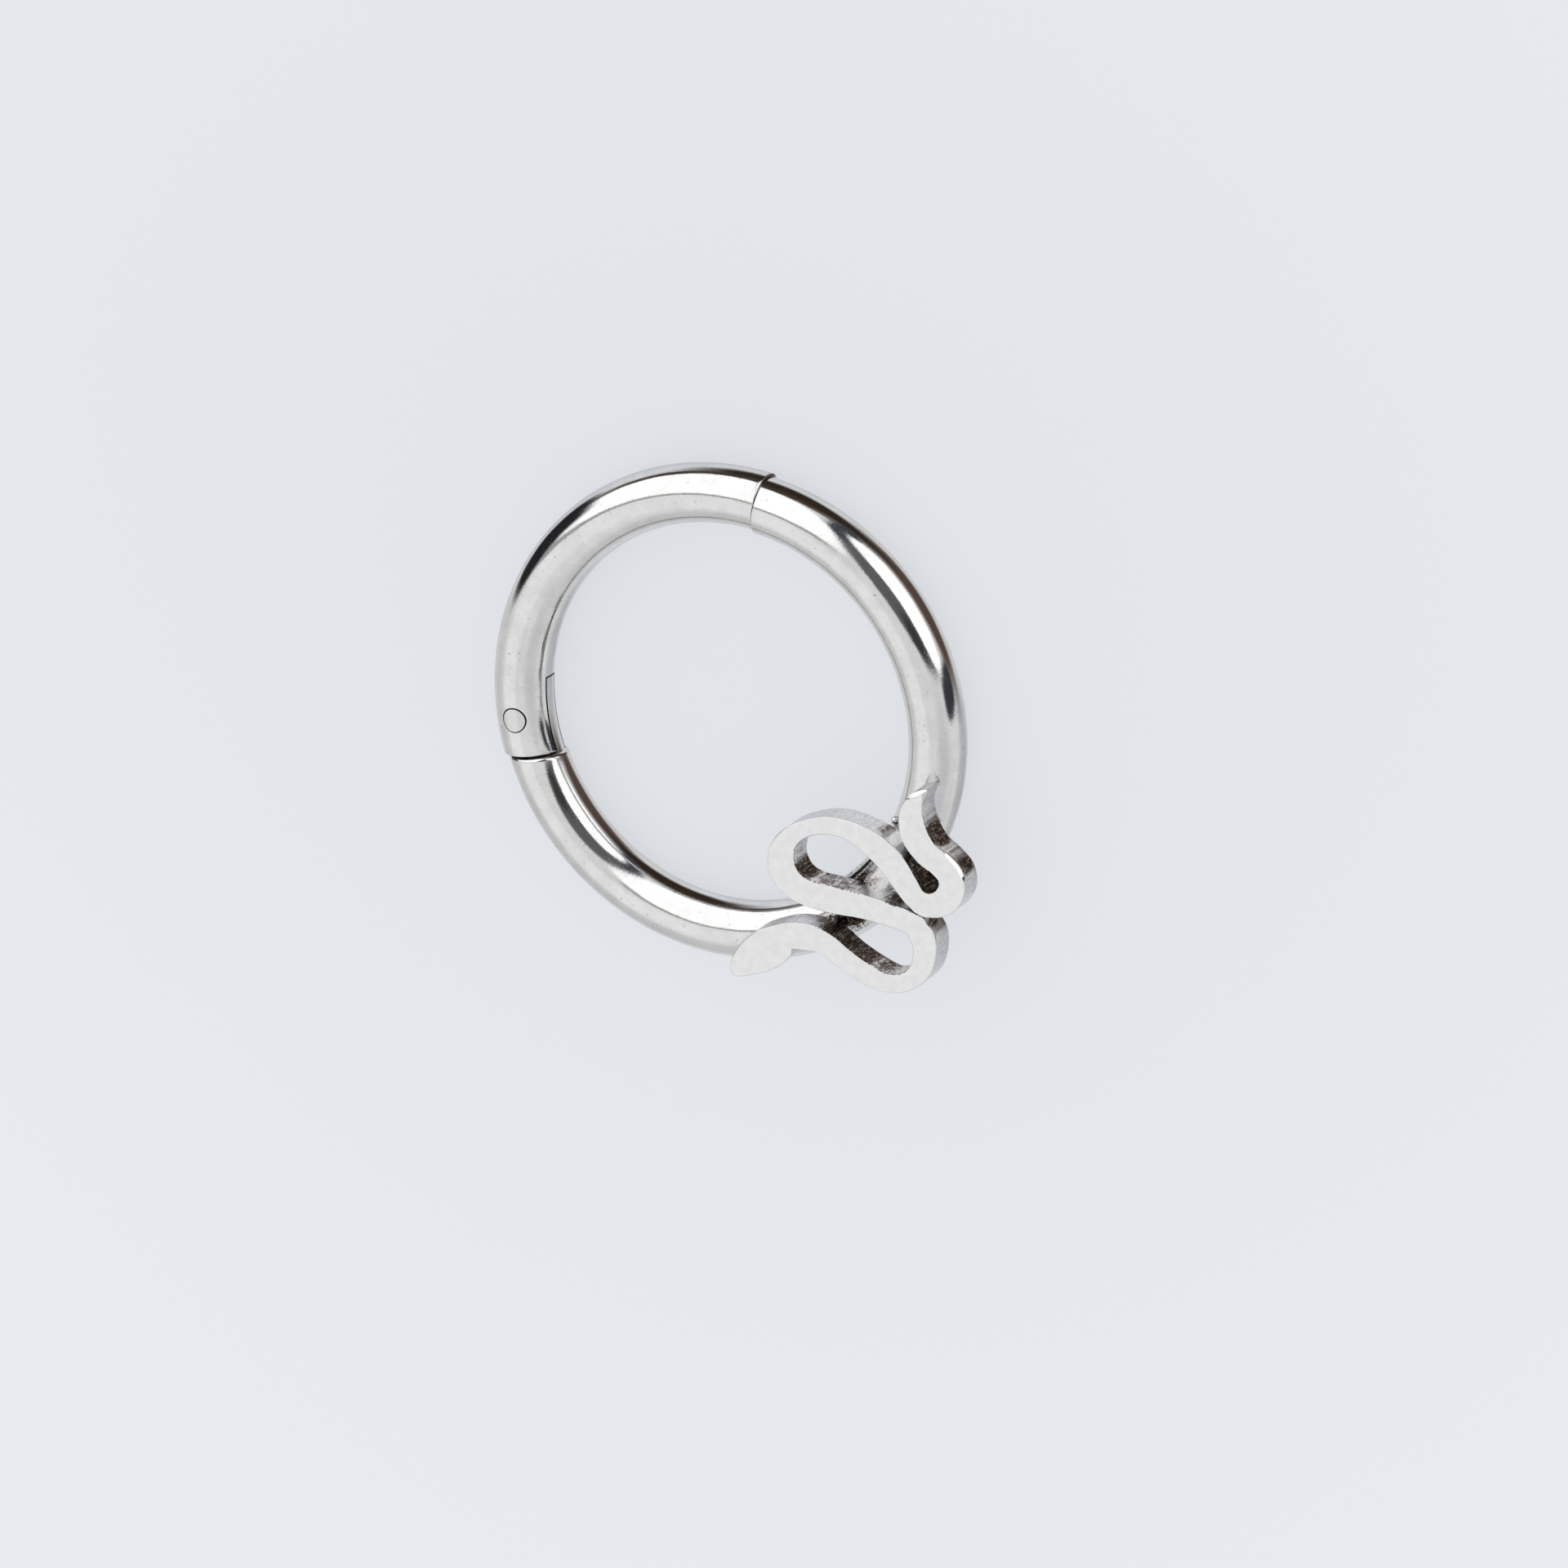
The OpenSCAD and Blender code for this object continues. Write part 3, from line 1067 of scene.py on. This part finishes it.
def painted_shade_steel():
    """Faces deep in the seams and the hinge, painted dark brown as their shade, and on the seam's outer rim
    as a painted dark reflection.
    """
    material, nodes, shader = metal("painted_shade_steel")
    shade_mottle = nodes.noise(nodes.place_in_mm(), 9, 3, 0.6)
    tone = nodes.mix(shade_mottle, grey(0.05, (1.4, 0.95, 0.7)), grey(0.2, (1.1, 0.97, 0.9)))
    nodes.feed(shader, "Base Color", tone)
    nodes.feed(shader, "Roughness", 0.5)
    return material


def floor_with_painted_glow():
    """The pale sheet that the ring lies on: partly lit from above and partly a painted glow, which is
    painted a little brighter away from the ring and towards the front."""
    material, nodes = new_material("floor_with_painted_glow")
    place = nodes.place_in_mm()
    away = nodes.add("ShaderNodeVectorMath", operation="LENGTH")
    nodes.feed(away, 0, place)
    # Painted light: the glow grows brighter away from the ring and towards the front
    painted_brightening = nodes.spread(away.outputs["Value"], 2, 30, 1.0, 1.06)
    parts = nodes.add("ShaderNodeSeparateXYZ")
    nodes.feed(parts, 0, place)
    painted_front_light = nodes.spread(parts.outputs["Y"], 8, -16, 0.0, 0.03)
    painted_brightening = nodes.math("ADD", painted_brightening, painted_front_light)
    lit = nodes.add("ShaderNodeBsdfDiffuse")
    nodes.feed(lit, "Color", grey(FLOOR_LIT))
    glow = nodes.add("ShaderNodeEmission")
    nodes.feed(glow, "Color", (*FLOOR_GLOW, 1))
    nodes.feed(glow, "Strength", painted_brightening)
    both = nodes.add("ShaderNodeAddShader")
    nodes.tree.links.new(lit.outputs[0], both.inputs[0])
    nodes.tree.links.new(glow.outputs[0], both.inputs[1])
    nodes.show(both)
    material.cycles.emission_sampling = "NONE"
    return material


# Studio

# Soft panels round the ring: azimuth and elevation of the middle, half width and half height in degrees,
# lean, squareness, softness of the edge, and the 8-bit colour that polished steel shows of it
PANELS = {
    "floor_front": (-120, -52, 78, 30, 0, 2.0, 0.5, (216, 219, 225)),
    "floor_right": (-40, -44, 42, 22, 0, 2.0, 0.5, (174, 176, 179)),
    "under": (-142, -58, 40, 26, 0, 2.0, 0.6, (214, 215, 218)),
    "floor_far": (152, -52, 48, 28, 0, 2.0, 0.4, (208, 209, 213)),
    "low_left": (-108, 3, 70, 22, 0, 2.0, 0.5, (189, 189, 189)),
    "pale_left": (-150, 52, 45, 24, 0, 2.0, 0.4, (220, 220, 220)),
    "grey_right": (-35, 38, 34, 20, 0, 2.0, 0.6, (188, 188, 190)),
    "brown_wide": (34, -44, 40, 25, 0, 2.2, 0.40, (80, 66, 58)),
    "brown_deep": (89, -26, 38, 20, 0.3, 2.4, 0.35, (46, 37, 31)),
    "grey_band": (115, -6, 46, 9, 0, 2.4, 0.35, (60, 52, 46)),
    "arch": (40, 38, 33, 37, 0, 2.6, 0.12, (88, 88, 88)),
    "arch_core": (21, 50, 13, 14, 0, 2.0, 0.5, (54, 53, 52)),
    "blue_strip": (2, -5, 9, 26, -0.15, 2.6, 0.25, (50, 52, 58)),
    "blue_left": (69, 6, 6, 26, 0.1, 2.4, 0.3, (58, 60, 68)),
    "softbox_right": (37.5, 10.5, 28.5, 24, 0, 2.5, 0.05, (258, 258, 258)),
    "rim_left": (142, 38, 38, 41, -0.15, 3.4, 0.03, (150, 147, 145)),
    "softbox_left": (122, 36.5, 49, 37.5, -0.15, 3.1, 0.05, (257, 257, 256)),
    "dark_left": (170.5, -1, 14.5, 24, 0.08, 3.4, 0.22, (34, 33, 36)),
}
ROOM = (207, 207, 206)
BACKDROP = (0.78, 0.80, 0.835)


def light_behind(seen):
    """The light that polished steel turns into an 8-bit sRGB colour of the picture."""
    levels = [value / 255 for value in seen]
    linear = [v / 12.92 if v <= 0.04045 else ((v + 0.055) / 1.055) ** 2.4 for v in levels]
    return (*(v / s for v, s in zip(linear, STEEL)), 1)


def panel_share(nodes, azimuth, elevation, panel):
    """How much of a panel shows at an azimuth and elevation in radians, from 0 to 1."""
    middle_a, middle_e, half_width, half_height, lean, squareness, softness, _ = panel
    turned = nodes.math("SUBTRACT", azimuth, math.radians(middle_a))
    aside = nodes.math("WRAP", turned, math.pi, -math.pi)
    above = nodes.math("SUBTRACT", elevation, math.radians(middle_e))
    upright = nodes.math("MULTIPLY_ADD", above, -lean, aside)
    powers = []
    for value, half in ((upright, half_width), (above, half_height)):
        share = nodes.math("ABSOLUTE", nodes.math("DIVIDE", value, math.radians(half)))
        powers.append(nodes.math("POWER", share, squareness))
    reach = nodes.math("POWER", nodes.math("ADD", *powers), 1 / squareness)
    return nodes.spread(reach, 1 + softness, 1 - softness)


def shell_look():
    """What the steel mirrors: a softly lit room with two large softboxes and the darker studio."""
    material, nodes = new_material("studio_shell")
    material.cycles.emission_sampling = "NONE"
    place = nodes.add("ShaderNodeTexCoord").outputs["Object"]
    towards = nodes.add("ShaderNodeVectorMath", operation="NORMALIZE")
    nodes.feed(towards, 0, place)
    parts = nodes.add("ShaderNodeSeparateXYZ")
    nodes.feed(parts, 0, towards.outputs["Vector"])
    azimuth = nodes.math("ARCTAN2", parts.outputs["Y"], parts.outputs["X"])
    elevation = nodes.math("ARCSINE", parts.outputs["Z"])
    colour = light_behind(ROOM)
    for panel in PANELS.values():
        share = panel_share(nodes, azimuth, elevation, panel)
        colour = nodes.mix(share, colour, light_behind(panel[-1]))
    glow = nodes.add("ShaderNodeEmission")
    nodes.feed(glow, "Color", colour)
    nodes.show(glow)
    return material


def make_shell():
    """A wide ball round the studio that only shows in reflections."""
    shell = ball("studio_shell", SHELL_R, (0, 0, 0))
    shell.data.materials.append(shell_look())
    shell.visible_camera = False
    shell.visible_diffuse = False
    shell.visible_transmission = False
    shell.visible_shadow = False


def make_room_light():
    """Even light from all round, which is also the pale backdrop behind the floor."""
    world = bpy.data.worlds.new("studio")
    bpy.context.scene.world = world
    world.use_nodes = True
    nodes = Nodes(world.node_tree)
    background = nodes.add("ShaderNodeBackground")
    nodes.feed(background, "Color", (*BACKDROP, 1))
    nodes.show(background, "ShaderNodeOutputWorld")


def make_floor():
    """A pale sheet with a painted glow, which keeps the ring's shadow faint."""
    signs = ((-1, -1), (1, -1), (1, 1), (-1, 1))
    corners = [(x * SHELL_R, y * SHELL_R, 0) for x, y in signs]
    floor = new_piece("floor", corners, [[0, 1, 2, 3]])
    floor.data.materials.append(floor_with_painted_glow())
    floor.visible_glossy = False


def make_camera():
    """The photograph's view: from above the ring's right, turned as the photograph is."""
    camera = bpy.data.cameras.new("camera")
    camera.sensor_width = 36
    camera.lens = LENS
    camera.clip_start = 0.01
    camera.clip_end = 10
    holder = bpy.data.objects.new("camera", camera)
    bpy.context.scene.collection.objects.link(holder)
    aside = Matrix.Rotation(math.radians(CAMERA_AZIMUTH + 90), 4, "Z")
    down = Matrix.Rotation(math.radians(90 - CAMERA_ELEVATION), 4, "X")
    rolled = Matrix.Rotation(math.radians(CAMERA_ROLL), 4, "Z")
    holder.matrix_world = aside @ down @ rolled @ Matrix.Translation(CAMERA_OFFSET)
    bpy.context.scene.camera = holder


# Putting it together


def finish_piece(piece, materials, body, node, slot, kinds=()):
    """Places a piece, gives it its materials, hangs it on its body and hides the CAD node that it stands
    for. kinds gives each face the number of its material."""
    to_frame(piece)
    piece.data.materials.clear()
    for material in materials:
        piece.data.materials.append(material)
    for face, kind in zip(piece.data.polygons, kinds):
        face.material_index = kind
    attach(piece, body)
    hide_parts(node)


def body_of(node):
    """The body that carries a CAD node."""
    groups = frame["record"]["behaviour"]["bodies"]
    return next(body for body, members in groups.items() if node in members)


def main():
    make_camera()
    make_room_light()
    make_shell()
    make_floor()
    bpy.context.scene.view_settings.view_transform = "Standard"
    polished = polished_steel()
    satin = satin_steel()
    walls = cut_wall_steel()
    milled = machined_steel("milled_steel", *MILLED)
    drawn = machined_steel("drawn_pin_steel", *DRAWN)
    painted_shade = painted_shade_steel()
    hoop = make_hoop()
    snake = make_snake()
    gate = make_gate()
    nub = ball("catch_nub", NUB_R, catch_centre())
    bead = ball("solder_bead", BEAD_R, BEAD)
    hoop_slot = (body_of("hoop_with_snake"), "hoop_with_snake", "polished_steel")
    gate_slot = (body_of("gate"), "gate", "polished_steel")
    finish_piece(hoop, [polished, painted_shade, milled], *hoop_slot, wire_kinds(hoop.data, HOOP_BEND))
    finish_piece(make_tongue(), [polished], *hoop_slot)
    finish_piece(snake, [satin, walls, polished], *hoop_slot, plate_kinds(snake.data))
    finish_piece(nub, [milled], *hoop_slot)
    finish_piece(bead, [polished], *hoop_slot)
    finish_piece(make_solder(), [walls], *hoop_slot)
    finish_piece(gate, [polished, painted_shade, milled], *gate_slot, wire_kinds(gate.data, GATE_BEND))
    finish_piece(make_pin(), [drawn], body_of("hinge_pin"), "hinge_pin", "pin_steel")


main()
